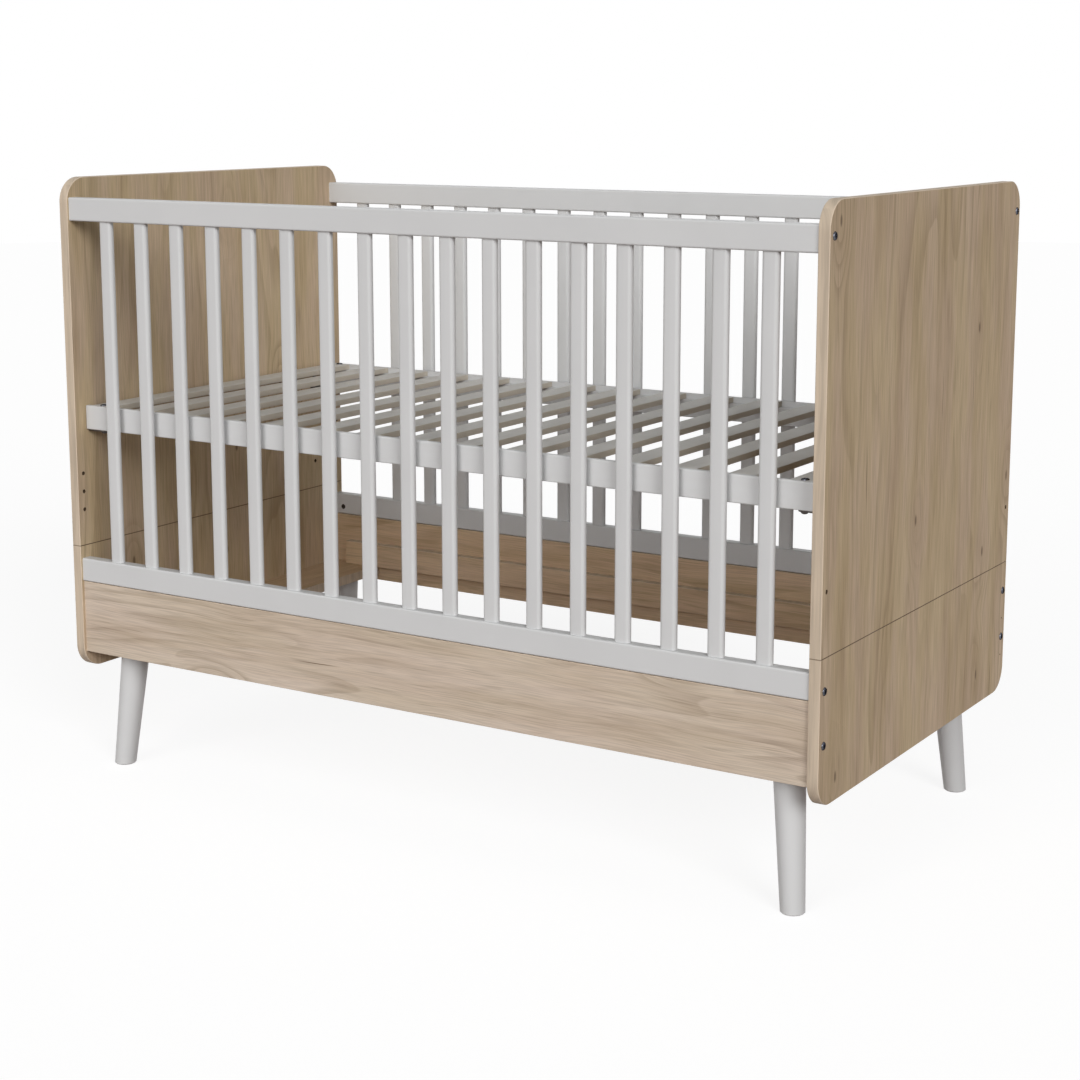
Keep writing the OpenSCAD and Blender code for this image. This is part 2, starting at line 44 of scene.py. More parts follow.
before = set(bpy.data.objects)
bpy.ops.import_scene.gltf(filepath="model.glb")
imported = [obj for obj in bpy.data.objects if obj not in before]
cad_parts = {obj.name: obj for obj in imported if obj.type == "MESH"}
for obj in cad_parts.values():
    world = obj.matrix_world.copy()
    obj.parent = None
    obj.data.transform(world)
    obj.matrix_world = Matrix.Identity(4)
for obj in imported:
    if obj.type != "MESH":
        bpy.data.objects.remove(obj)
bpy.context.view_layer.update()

SIDES = ("front", "rear")
ENDS = ("left", "right")
CORNERS = tuple(f"{side}_{end}" for side in SIDES for end in ENDS)
SLATS = tuple(sorted(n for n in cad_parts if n.startswith("slat_")))
MM = 0.001
X_AXIS, Y_AXIS, Z_AXIS = (1, 0, 0), (0, 1, 0), (0, 0, 1)
# turns that lay the grain of a finish along Z, along X and along Y
UPRIGHT = (0.0, 0.0, 0.0)
LENGTHWISE = (0.0, math.pi / 2, 0.0)
FRONT_TO_REAR = (math.pi / 2, 0.0, 0.0)


# ------------------------------------------------------------------ properties


def amount(name, default, description, low=0.0, high=10.0):
    """A plain number."""
    return FloatProperty(
        name=name, default=default, description=description, min=low, max=high)


def length(name, default, description, low=0.0, high=2.0):
    """A length in metres."""
    return FloatProperty(
        name=name, default=default, description=description, min=low, max=high,
        unit="LENGTH", precision=4)


def count(name, default, description):
    """A number of sides."""
    return IntProperty(name=name, default=default, description=description, min=12, max=96)


def colour(name, default, description):
    """A colour in linear light."""
    return FloatVectorProperty(
        name=name, default=default, description=description, size=3, min=0.0, max=1.0,
        subtype="COLOR")


def angle(name, degrees, description):
    """An angle, given in degrees."""
    return FloatProperty(
        name=name, default=math.radians(degrees), description=description, min=-math.pi,
        max=math.pi, subtype="ANGLE")


class CribSizes(PropertyGroup):
    """Sizes of the small forms that are shaped here"""

    slat_edge: length("Slat edge", 0.9 * MM, "Radius of the rounded edges of a slat")
    head_high: length("Head height", 2.4 * MM, "Height of the bolt heads")
    socket: length("Socket", 4.0 * MM, "Width across the flats of the hexagon sockets")
    socket_deep: length("Socket depth", 1.7 * MM, "Depth of the hexagon sockets")
    shank: length("Shank", 6.0 * MM, "Diameter of the bolts")
    stub: length("Nut stub", 4.0 * MM, "Diameter of the bolt's end inside a domed nut")
    stub_deep: length("Nut stub depth", 1.0 * MM, "Length of the bolt's end inside a domed nut")
    head_sides: count("Head sides", 36, "Number of sides of a bolt head, a multiple of six")
    nut_sides: count("Nut sides", 24, "Number of sides of a domed nut")


class CribFinish(PropertyGroup):
    """Colours and grain of the crib's finishes"""

    oak_pale: colour("Pale oak", (0.62, 0.49, 0.345), "Lightest wood of the boards")
    oak_tan: colour("Tan oak", (0.56, 0.432, 0.292), "Common tone of the boards")
    oak_brown: colour("Brown oak", (0.43, 0.315, 0.20), "Darker bands of the boards")
    oak_knot: colour("Knots", (0.115, 0.07, 0.038), "Knots and cracks in the grain")
    # painted shade: the board core is darker than raw board, for the shade inside the bores
    core: colour("Board core", (0.13, 0.09, 0.055), "Raw board in bores and seams")
    band: colour("Edge band", (0.63, 0.52, 0.40), "Edge band of the boards")
    white: colour("White lacquer", (0.638, 0.643, 0.645), "Rails, bars and legs")
    slat: colour("Slat paint", (0.615, 0.60, 0.565), "Thin paint of the slats")
    steel: colour("Blackened steel", (0.09, 0.092, 0.106), "Bolt heads and barrel nuts")
    bracket: colour("Brown steel", (0.05, 0.04, 0.034), "Brackets and domed nuts")
    zinc: colour("Zinc plate", (0.55, 0.56, 0.58), "Studs, inserts and screws")
    beech: colour("Beech", (0.52, 0.36, 0.21), "Dowels")
    figure: length("Figure", 0.11, "Width of the broad figure of the oak", 0.02, 0.6)
    rings: amount("Rings", 11.0, "Growth rings across one width of the figure", 1.0, 40.0)
    knots: amount("Knots", 0.42, "Share of the figure's cells that hold a knot", 0.0, 1.0)
    corner: length("Corner", 31.0 * MM, "Reach of an end panel's round corner, banded all over")


class CribStudio(PropertyGroup):
    """Light, floor and camera"""

    sky: amount("Sky", 0.17, "Strength of the even light from all round")
    key: amount("Key light", 1.54, "Strength of the far lamp at the front right")
    key_turn: angle("Key turn", 55.0, "Turn of the key light from the front to the right")
    key_rise: angle("Key rise", 25.0, "Height of the key light above the horizon")
    key_soft: angle("Key softness", 26.0, "Width of the key light as the crib sees it")
    fill: amount("Fill light", 1.50, "Strength of the very wide lamp at the front")
    fill_turn: angle("Fill turn", 0.0, "Turn of the fill light from the front to the right")
    fill_rise: angle("Fill rise", 17.0, "Height of the fill light above the horizon")
    fill_soft: angle("Fill softness", 42.0, "Width of the fill light as the crib sees it")
    floor_reach: length("Floor radius", 14.0, "Radius of the round floor", 2.0, 50.0)
    bounce: colour("Bounce", (0.13, 0.068, 0.042), "Warm colour that the floor throws upwards")
    floor_lit: amount("Lit floor", 0.22, "Part of the floor's white that takes a shadow")
    floor_glow: amount("Floor glow", 0.87, "Part of the floor's white that takes none")
    lens: amount("Lens", 69.63, "Focal length in millimetres", 10.0, 300.0)
    camera_place: FloatVectorProperty(
        name="Camera place", default=(1.8972, -2.9752, 1.1825), size=3, unit="LENGTH",
        description="Where the camera stands")
    camera_turn: angle("Camera turn", 31.9825, "Turn of the camera from the front to the right")
    camera_dip: angle("Camera dip", 9.895, "How far the camera looks down")
    camera_shift: FloatVectorProperty(
        name="Camera shift", default=(-0.0101, -0.0758), size=2,
        description="Sideways and upward shift of the view, in widths of the picture")


# ------------------------------------------------------------------ node building


def feed(tree, socket, value):
    """Links a socket or sets its value."""
    if isinstance(value, bpy.types.NodeSocket):
        tree.links.new(value, socket)
    else:
        socket.default_value = value


def feed_all(tree, node, values):
    """Feeds a node's inputs, each given by its name or index; returns the node."""
    for key, value in values.items():
        feed(tree, node.inputs[key], value)
    return node


def put(tree, kind, values=None, **settings):
    """Adds one node. Values are given by input name or index and may be sockets to link."""
    node = tree.nodes.new(kind)
    for name, value in settings.items():
        setattr(node, name, value)
    return feed_all(tree, node, values or {})


def combine(tree, x=0.0, y=0.0, z=0.0):
    """A vector from three values."""
    return put(tree, "ShaderNodeCombineXYZ", {0: x, 1: y, 2: z}).outputs[0]


def split(tree, vector):
    """The three values of a vector."""
    return put(tree, "ShaderNodeSeparateXYZ", {0: vector}).outputs


def calc(tree, operation, *values, clamp=False):
    """One Math node; returns its result."""
    return put(tree, "ShaderNodeMath", dict(enumerate(values)),
               operation=operation, use_clamp=clamp).outputs[0]


def vector_calc(tree, operation, *values):
    """One Vector Math node; returns its vector."""
    return put(tree, "ShaderNodeVectorMath", dict(enumerate(values)),
               operation=operation).outputs[0]


def dot(tree, first, second):
    """How far one vector reaches along another."""
    return put(tree, "ShaderNodeVectorMath", {0: first, 1: second},
               operation="DOT_PRODUCT").outputs["Value"]


def mix_colour(tree, share, first, second, mode="MIX"):
    """One Mix node for colours; returns its result."""
    return put(tree, "ShaderNodeMix", {0: share, 6: first, 7: second},
               data_type="RGBA", blend_type=mode).outputs[2]


def ramp(tree, value, start, end, low=0.0, high=1.0):
    """Smooth step of a value between two limits."""
    return put(tree, "ShaderNodeMapRange",
               {0: value, 1: start, 2: end, 3: low, 4: high},
               interpolation_type="SMOOTHSTEP").outputs[0]


def noise(tree, vector, scale, detail=2.0, roughness=0.5):
    """One 3D noise; returns its value."""
    return put(tree, "ShaderNodeTexNoise", {"Vector": vector, "Scale": scale, "Detail": detail,
                                            "Roughness": roughness}).outputs[0]


def straight_view(tree):
    """One where the camera looks, straight or by way of metal or glass; else zero."""
    path = put(tree, "ShaderNodeLightPath").outputs
    return calc(tree, "MAXIMUM", path["Is Camera Ray"], calc(
        tree, "MAXIMUM", path["Is Glossy Ray"], path["Is Transmission Ray"]))


def new_group(name, kind, inputs, outputs):
    """A node group with named sockets; returns the tree, its input and its output node."""
    tree = bpy.data.node_groups.new(name, kind)
    for label, socket_type, default in inputs:
        socket = tree.interface.new_socket(name=label, in_out="INPUT", socket_type=socket_type)
        if default is not None:
            socket.default_value = default
    for label, socket_type in outputs:
        tree.interface.new_socket(name=label, in_out="OUTPUT", socket_type=socket_type)
    return tree, tree.nodes.new("NodeGroupInput"), tree.nodes.new("NodeGroupOutput")


def use_group(tree, name, values):
    """Places a shared shader group in a tree."""
    node = tree.nodes.new("ShaderNodeGroup")
    node.node_tree = bpy.data.node_groups[name]
    return feed_all(tree, node, values)


# ------------------------------------------------------------------ shared effects


def build_wood_grain():
    """Grain that runs along Z: rings that bow round knots, streaks, fibres, pores and cracks."""
    tree, given, result = new_group(
        "Wood grain", "ShaderNodeTree",
        [("Vector", "NodeSocketVector", None), ("Figure width", "NodeSocketFloat", 0.11),
         ("Rings", "NodeSocketFloat", 9.0), ("Knot share", "NodeSocketFloat", 0.3)],
        [(label, "NodeSocketFloat") for label in
         ("Ring", "Tone", "Hue", "Streak", "Fibre", "Dash", "Knot", "Halo", "Crack")])
    x, y, z = split(tree, given.outputs["Vector"])
    width = calc(tree, "ADD", x, y)
    place = combine(tree, width, 0.0, z)
    per_width = calc(tree, "DIVIDE", 1.0, given.outputs["Figure width"])
    # knots lie in cells that are long in the direction of the grain
    squeezed = combine(tree, width, calc(tree, "MULTIPLY", z, 0.42))
    cells = put(tree, "ShaderNodeTexVoronoi", {"Vector": squeezed, "Scale": 7.0},
                voronoi_dimensions="2D")
    chosen = calc(tree, "LESS_THAN", put(tree, "ShaderNodeSeparateColor",
                                         {0: cells.outputs["Color"]}).outputs[0],
                  given.outputs["Knot share"])
    halo = calc(tree, "MULTIPLY", chosen, ramp(tree, cells.outputs["Distance"], 0.34, 0.0))
    core = calc(tree, "MULTIPLY", chosen, ramp(tree, cells.outputs["Distance"], 0.034, 0.012))
    # the fibres part round the knots and wander from the straight line
    apart = vector_calc(tree, "MULTIPLY", vector_calc(
        tree, "SUBTRACT", squeezed, cells.outputs["Position"]), (0.55, 0.0, 0.0))
    bent = vector_calc(tree, "SUBTRACT", place, vector_calc(
        tree, "MULTIPLY", apart, combine(tree, halo, halo, halo)))
    for stretch, scale, reach in ((0.16, 5.0, 0.042), (0.75, 5.5, 0.019)):
        wander = put(tree, "ShaderNodeTexNoise",
                     {"Vector": vector_calc(tree, "MULTIPLY", place, (1.0, 1.0, stretch)),
                      "Scale": scale, "Detail": 1.0}).outputs["Color"]
        bent = vector_calc(tree, "ADD", bent, vector_calc(
            tree, "MULTIPLY", vector_calc(tree, "SUBTRACT", wander, (0.5, 0.5, 0.5)),
            (reach, 0.0, 0.0)))

    def along(share):
        """The bent place with lengths along the grain cut to a share, which draws out a noise."""
        return vector_calc(tree, "MULTIPLY", bent, (1.0, 1.0, share))

    field = calc(tree, "ADD", noise(tree, along(0.13), per_width, 1.0, 0.4),
                 calc(tree, "MULTIPLY", halo, 0.22))
    turn = calc(tree, "FRACT", calc(tree, "MULTIPLY", field, given.outputs["Rings"]))
    ring = calc(tree, "MULTIPLY", ramp(tree, turn, 0.45, 0.93), ramp(tree, turn, 1.0, 0.95))
    strong = noise(tree, along(0.3), 8.0, 1.0)
    ring = calc(tree, "MULTIPLY", ring, ramp(tree, strong, 0.40, 0.62, 0.15, 1.0))
    tone = noise(tree, along(0.11), calc(tree, "MULTIPLY", per_width, 1.9), 3.0, 0.55)
    hue = noise(tree, vector_calc(tree, "ADD", along(0.2), (3.1, 1.7, 1.06)), 17.0)
    streak = noise(tree, along(0.045), 95.0, 3.0, 0.6)
    fibre = noise(tree, along(0.022), 520.0, 2.0, 0.6)
    dash = ramp(tree, noise(tree, along(0.03), 330.0, 1.0), 0.60, 0.70)
    # here and there a crack opens along the fibres
    narrowed = combine(tree, split(tree, bent)[0], calc(tree, "MULTIPLY", z, 0.3))
    lines = put(tree, "ShaderNodeTexVoronoi", {"Vector": narrowed, "Scale": 6.0},
                voronoi_dimensions="2D")
    off = split(tree, vector_calc(tree, "SUBTRACT", narrowed, lines.outputs["Position"]))
    opened = calc(tree, "LESS_THAN", put(tree, "ShaderNodeSeparateColor",
                                         {0: lines.outputs["Color"]}).outputs[1], 0.4)
    crack = calc(tree, "MULTIPLY", opened, calc(
        tree, "MULTIPLY", ramp(tree, calc(tree, "ABSOLUTE", off[0]), 1.5 * MM, 0.3 * MM),
        ramp(tree, calc(tree, "ABSOLUTE", off[1]), 0.017, 0.002)))
    feed_all(tree, result, {"Ring": ring, "Tone": tone, "Hue": hue, "Streak": streak,
                            "Fibre": fibre, "Dash": dash, "Knot": core, "Halo": halo,
                            "Crack": crack})


def build_board_faces():
    """Tells a board's broad faces from its edges and lays one print on each broad face."""
    tree, given, result = new_group(
        "Board faces", "ShaderNodeTree",
        [("Across", "NodeSocketVector", X_AXIS), ("Half thickness", "NodeSocketFloat", 0.009)],
        [("Face", "NodeSocketFloat"), ("Arris", "NodeSocketFloat"),
         ("Edge place", "NodeSocketVector"), ("Print place", "NodeSocketVector")])
    where = put(tree, "ShaderNodeTexCoord")
    normal, place = where.outputs["Normal"], where.outputs["Object"]
    across = given.outputs["Across"]
    straight = calc(tree, "ABSOLUTE", dot(tree, normal, across))
    face = calc(tree, "GREATER_THAN", straight, 0.92)
    arris = calc(tree, "SUBTRACT", calc(tree, "GREATER_THAN", straight, 0.25), face, clamp=True)
    # on a level edge the band's grain runs along the edge and not through it
    level_edge = calc(tree, "GREATER_THAN", calc(tree, "ABSOLUTE", split(tree, normal)[2]), 0.7)
    x, y, z = split(tree, place)
    along_edge = put(tree, "ShaderNodeMix", {0: level_edge, 4: place, 5: combine(tree, x, z, y)},
                     data_type="VECTOR").outputs[1]
    # the print has no depth, and each face shows its own piece of it
    deep = dot(tree, place, across)
    leaf = calc(tree, "MULTIPLY", calc(tree, "FLOOR", calc(
        tree, "DIVIDE", deep, given.outputs["Half thickness"])), 0.37)
    shift = put(tree, "ShaderNodeVectorMath", {0: across, "Scale": calc(
        tree, "SUBTRACT", leaf, deep)}, operation="SCALE").outputs[0]
    feed_all(tree, result, {"Face": face, "Arris": arris, "Edge place": along_edge,
                            "Print place": vector_calc(tree, "ADD", place, shift)})


def build_board_cuts():
    """Finds the walls and floors of the bores and the line of the seam in an end panel."""
    tree, given, result = new_group(
        "Board cuts", "ShaderNodeTree",
        [(label, "NodeSocketFloat", 0.0) for label in
         ("Face", "Inner", "Outer", "Half depth", "Bottom", "Top", "Corner", "Seam")],
        [("Bore", "NodeSocketFloat"), ("Line", "NodeSocketFloat")])
    read = given.outputs
    x, y, z = split(tree, put(tree, "ShaderNodeTexCoord").outputs["Object"])
    x, y = calc(tree, "ABSOLUTE", x), calc(tree, "ABSOLUTE", y)
    from_faces = calc(tree, "MINIMUM", calc(tree, "SUBTRACT", x, read["Inner"]),
                      calc(tree, "SUBTRACT", read["Outer"], x))
    from_sides = calc(tree, "SUBTRACT", read["Half depth"], y)
    from_ends = calc(tree, "MINIMUM", calc(tree, "SUBTRACT", z, read["Bottom"]),
                     calc(tree, "SUBTRACT", read["Top"], z))
    # a bore's wall lies in from the panel's outline and clear of its round corners
    clear = calc(tree, "GREATER_THAN", calc(tree, "MINIMUM", from_sides, from_ends), 3 * MM)
    past_corner = calc(tree, "GREATER_THAN", calc(tree, "MAXIMUM", from_sides, from_ends),
                       read["Corner"])
    walls = calc(tree, "MULTIPLY", calc(tree, "MULTIPLY", clear, past_corner),
                 calc(tree, "SUBTRACT", 1.0, read["Face"]))
    # its floor looks the way that a broad face does, and lies deeper
    floors = calc(tree, "MULTIPLY", calc(tree, "GREATER_THAN", from_faces, 1.5 * MM),
                  read["Face"])
    from_seam = calc(tree, "ABSOLUTE", calc(tree, "SUBTRACT", z, read["Seam"]))
    feed_all(tree, result, {"Bore": calc(tree, "MAXIMUM", walls, floors),
                            "Line": ramp(tree, from_seam, 1.2 * MM, 0.5 * MM)})


def build_lacquer_skin():
    """Fine ripple of sprayed lacquer and the faint unevenness of its colour and gloss."""
    tree, given, result = new_group(
        "Lacquer skin", "ShaderNodeTree",
        [("Vector", "NodeSocketVector", None), ("Ripple", "NodeSocketFloat", 420.0)],
        [("Cloud", "NodeSocketFloat"), ("Gloss", "NodeSocketFloat"),
         ("Height", "NodeSocketFloat")])
    place = given.outputs["Vector"]
    cloud = noise(tree, place, 5.5, 3.0, 0.55)
    gloss = noise(tree, place, 38.0, 3.0, 0.6)
    height = noise(tree, place, given.outputs["Ripple"], 2.0, 0.5)
    feed_all(tree, result, {"Cloud": cloud, "Gloss": gloss, "Height": height})


# ------------------------------------------------------------------ materials


def new_material(name):
    """Starts a material; returns its tree and its Principled shader."""
    material = bpy.data.materials.new(name)
    material.use_nodes = True
    tree = material.node_tree
    return tree, tree.nodes["Principled BSDF"]


def four(rgb, share=1.0):
    """A colour, or a darker or lighter share of it, with full alpha."""
    return (*(share * part for part in rgb), 1.0)


def turned_place(tree, place, turn):
    """A place, turned so that the grain runs along Z."""
    return put(tree, "ShaderNodeMapping", {"Vector": place, "Rotation": turn}).outputs[0]


def object_place(tree, turn=UPRIGHT):
    """Object coordinates, turned so that the grain runs along Z."""
    return turned_place(tree, put(tree, "ShaderNodeTexCoord").outputs["Object"], turn)


def bump(tree, shader, height, strength, distance):
    """Feeds a Bump node into the shader."""
    node = put(tree, "ShaderNodeBump", {"Height": height, "Strength": strength,
                                        "Distance": distance})
    feed(tree, shader.inputs["Normal"], node.outputs[0])


def oak_colour(tree, grain, finish, tint, sway):
    """Colour of oak-effect board from the grain's outputs; sway is how far its blue drifts."""
    read = grain.outputs
    broad = calc(tree, "MULTIPLY_ADD", read["Streak"], 0.62, calc(
        tree, "MULTIPLY", read["Tone"], 1.45))
    wood = mix_colour(tree, ramp(tree, broad, 0.74, 1.18), four(finish.oak_pale),
                      four(finish.oak_tan))
    wood = mix_colour(tree, ramp(tree, broad, 1.02, 1.50, 0.0, 0.9), wood,
                      four(finish.oak_brown))
    wood = mix_colour(tree, calc(tree, "MULTIPLY", read["Halo"], 0.35), wood,
                      four(finish.oak_brown))
    wood = mix_colour(tree, calc(tree, "MULTIPLY", read["Ring"], 0.5), wood,
                      four(finish.oak_brown, 0.85))
    fine = ramp(tree, read["Fibre"], 0.36, 0.66, 1.07, 0.88)
    hue = ramp(tree, read["Hue"], 0.36, 0.64, -1.0, 1.0)
    fine_colour = put(tree, "ShaderNodeCombineColor", {
        index: calc(tree, "MULTIPLY", fine, calc(tree, "MULTIPLY_ADD", hue, drift * part, part))
        for index, (part, drift) in enumerate(zip(tint, (0.012, 0.006, sway)))}).outputs[0]
    wood = mix_colour(tree, 1.0, wood, fine_colour, "MULTIPLY")
    for label, share in (("Dash", 0.19), ("Crack", 0.75), ("Knot", 0.72)):
        wood = mix_colour(tree, calc(tree, "MULTIPLY", read[label], share), wood,
                          four(finish.oak_knot))
    return wood


def oak_board(name, finish, turn, across, tint, sway, cuts=None):
    """Oak-effect board with banded edges.

    The tint sets one board's colour off from another's; on the front apron and the inner boards
    it is painted light, paler and bluer where the front is lit, lighter and warmer in the shade
    inside. Sway is how far its blue drifts.
    Cuts gives the outline, faces and seam of the end panels, whose bores show raw board painted
    darker than it is, as painted shade inside them.
    """
    tree, shader = new_material(name)
    faces = use_group(tree, "Board faces", {"Across": across})
    grain = use_group(tree, "Wood grain", {
        "Vector": turned_place(tree, faces.outputs["Print place"], turn),
        "Figure width": finish.figure, "Rings": finish.rings, "Knot share": finish.knots})
    edge = use_group(tree, "Wood grain", {
        "Vector": faces.outputs["Edge place"], "Figure width": 0.05, "Rings": 3.0,
        "Knot share": 0.0})
    band = mix_colour(tree, ramp(tree, edge.outputs["Streak"], 0.35, 0.7), four(finish.band),
                      four(finish.band, 0.76))
    band = mix_colour(tree, calc(tree, "MULTIPLY", edge.outputs["Dash"], 0.14), band,
                      four(finish.oak_knot))
    # painted highlight: the arris between a broad face and its edge band is painted a lighter
    # band colour
    band = mix_colour(tree, calc(tree, "MULTIPLY", faces.outputs["Arris"], 0.45), band,
                      four(finish.band, 1.22))
    paint = mix_colour(tree, faces.outputs["Face"], band,
                       oak_colour(tree, grain, finish, tint, sway))
    if cuts:
        found = use_group(tree, "Board cuts", {"Face": faces.outputs["Face"], **cuts})
        # the bores show raw board painted darker as painted shade inside them; the seam line is a
        # dark joint
        for label, share in (("Bore", 1.0), ("Line", 0.7)):
            paint = mix_colour(tree, calc(tree, "MULTIPLY", found.outputs[label], share), paint,
                               four(finish.core))
    feed(tree, shader.inputs["Base Color"], paint)
    feed(tree, shader.inputs["Roughness"],
         ramp(tree, grain.outputs["Fibre"], 0.3, 0.7, 0.52, 0.66))
    shader.inputs["Specular IOR Level"].default_value = 0.18
    height = calc(tree, "SUBTRACT", grain.outputs["Fibre"],
                  calc(tree, "MULTIPLY", grain.outputs["Dash"], 0.8))
    bump(tree, shader, height, 0.22, 0.15 * MM)


def white_lacquer(name, rgb, roughness, telegraph, turn, sides=None):
    """White paint on solid wood; telegraph is how far the grain shows through.

    Where sides is given, it tints the faces that look along X darker and warmer: painted shade
    and warm bounce light.
    """
    tree, shader = new_material(name)
    place = object_place(tree, turn)
    skin = use_group(tree, "Lacquer skin", {"Vector": place})
    grain = use_group(tree, "Wood grain", {"Vector": place, "Figure width": 0.04,
                                           "Rings": 4.0, "Knot share": 0.0})
    paint = mix_colour(tree, ramp(tree, skin.outputs["Cloud"], 0.3, 0.7), four(rgb),
                       four(rgb, 0.965))
    lines = ramp(tree, grain.outputs["Streak"], 0.35, 0.72, 0.0, telegraph)
    paint = mix_colour(tree, lines, paint, four([0.70 * rgb[0], 0.66 * rgb[1], 0.60 * rgb[2]]))
    # painted shade: faces that look along X take a darker, warmer tint for the shade and warm
    # bounce light that fall on them
    if sides:
        facing = split(tree, put(tree, "ShaderNodeTexCoord").outputs["Normal"])[0]
        paint = mix_colour(tree, ramp(tree, calc(tree, "ABSOLUTE", facing), 0.8, 0.95), paint,
                           four([part * tint for part, tint in zip(rgb, sides)]))
    feed(tree, shader.inputs["Base Color"], paint)
    feed(tree, shader.inputs["Roughness"],
         ramp(tree, skin.outputs["Gloss"], 0.3, 0.7, roughness - 0.05, roughness + 0.06))
    shader.inputs["Specular IOR Level"].default_value = 0.4
    height = calc(tree, "ADD", calc(tree, "MULTIPLY", skin.outputs["Height"], 0.5),
                  calc(tree, "MULTIPLY", grain.outputs["Fibre"], telegraph * 4.0))
    bump(tree, shader, height, 0.12, 0.12 * MM)


def steel(name, rgb, roughness, metallic, edge=1.0):
    """Finished steel with faint turning marks; edge is how far it pales at a flat view."""
    tree, shader = new_material(name)
    place = object_place(tree)
    skin = use_group(tree, "Lacquer skin", {"Vector": place, "Ripple": 1900.0})
    paint = mix_colour(tree, ramp(tree, skin.outputs["Gloss"], 0.35, 0.75), four(rgb),
                       four([1.5 * part + 0.01 for part in rgb]))
    feed(tree, shader.inputs["Base Color"], paint)
    shader.inputs["Metallic"].default_value = metallic
    shader.inputs["Specular Tint"].default_value = (edge, edge, edge, 1.0)
    feed(tree, shader.inputs["Roughness"],
         ramp(tree, skin.outputs["Height"], 0.3, 0.7, roughness - 0.05, roughness + 0.08))
    bump(tree, shader, skin.outputs["Height"], 0.15, 0.05 * MM)


def raw_beech(name, rgb):
    """Turned beech of the dowels."""
    tree, shader = new_material(name)
    grain = use_group(tree, "Wood grain", {"Vector": object_place(tree), "Rings": 5.0})
    paint = mix_colour(tree, ramp(tree, grain.outputs["Streak"], 0.3, 0.7), four(rgb),
                       four(rgb, 0.8))
    feed(tree, shader.inputs["Base Color"], paint)
    feed(tree, shader.inputs["Roughness"], ramp(tree, grain.outputs["Fibre"], 0.3, 0.7, 0.6, 0.8))
    bump(tree, shader, grain.outputs["Fibre"], 0.3, 0.1 * MM)


def give(material, *nodes):
    """Puts one material on CAD nodes."""
    for name in nodes:
        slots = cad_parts[name].data.materials
        slots.clear()
        slots.append(bpy.data.materials[material])


# ------------------------------------------------------------------ shaping tools


def solids(node):
    """Lowest and highest corner of each separate solid of a CAD node."""
    mesh = bmesh.new()
    mesh.from_mesh(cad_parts[node].data)
    bmesh.ops.remove_doubles(mesh, verts=mesh.verts, dist=1e-6)
    left, found = set(mesh.verts), []
    while left:
        ready, group = [left.pop()], []
        while ready:
            vertex = ready.pop()
            group.append(vertex.co.copy())
            for edge in vertex.link_edges:
                other = edge.other_vert(vertex)
                if other in left:
                    left.remove(other)
                    ready.append(other)
        found.append((Vector(map(min, zip(*group))), Vector(map(max, zip(*group)))))
    mesh.free()
    return sorted(found, key=lambda pair: tuple(round(c, 5) for c in pair[0]))


def points_object(name, points, facings=None):
    """A mesh of loose points, each with the direction that its shape faces."""
    mesh = bpy.data.meshes.new(name)
    mesh.from_pydata([tuple(point) for point in points], [], [])
    facing = mesh.attributes.new("facing", "FLOAT_VECTOR", "POINT")
    flat = [part for way in (facings or [Z_AXIS] * len(points)) for part in way]
    facing.data.foreach_set("vector", flat)
    piece = bpy.data.objects.new(name, mesh)
    bpy.context.scene.collection.objects.link(piece)
    return piece


def grow(piece, tree, **values):
    """Runs a Geometry Nodes tree on a piece and keeps the result as a plain mesh."""
    modifier = piece.modifiers.new(tree.name, "NODES")
    modifier.node_group = tree
    keys = {item.name: item.identifier for item in tree.interface.items_tree
            if item.in_out == "INPUT"}
    for label, value in values.items():
        modifier[keys[label.replace("_", " ").capitalize()]] = value
    depsgraph = bpy.context.evaluated_depsgraph_get()
    made = bpy.data.meshes.new_from_object(piece.evaluated_get(depsgraph))
    if not made.polygons:
        raise RuntimeError(f"{piece.name} came out empty")
    piece.modifiers.remove(modifier)
    piece.data = made
    made.name = piece.name
    return piece


def joined(tree, *parts):
    """Joins geometry."""
    node = put(tree, "GeometryNodeJoinGeometry")
    for part in parts:
        feed(tree, node.inputs[0], part)
    return node.outputs[0]


def stand_on_points(tree, points, shape):
    """Puts a shape on each point, with its Z the way that the point faces."""
    way = put(tree, "GeometryNodeInputNamedAttribute", {"Name": "facing"},
              data_type="FLOAT_VECTOR").outputs[0]
    turn = put(tree, "FunctionNodeAlignRotationToVector", {"Vector": way}, axis="Z").outputs[0]
    return put(tree, "GeometryNodeInstanceOnPoints",
               {"Points": points, "Instance": shape, "Rotation": turn}).outputs[0]


def finish_tree(tree, geometry, result, material_socket):
    """Ends a tree: real geometry, soft shading up to 30 degrees, material."""
    real = put(tree, "GeometryNodeRealizeInstances", {0: geometry}).outputs[0]
    bend = put(tree, "GeometryNodeInputMeshEdgeAngle").outputs[0]
    sharp = put(tree, "FunctionNodeCompare", {0: bend, 1: math.radians(30.0)},
                operation="GREATER_THAN").outputs[0]
    soft = put(tree, "GeometryNodeSetShadeSmooth", {0: real, "Shade Smooth": True},
               domain="FACE").outputs[0]
    creased = put(tree, "GeometryNodeSetShadeSmooth",
                  {0: soft, "Selection": sharp, "Shade Smooth": False},
                  domain="EDGE").outputs[0]
    painted = put(tree, "GeometryNodeSetMaterial", {0: creased, "Material": material_socket})
    feed(tree, result.inputs[0], painted.outputs[0])


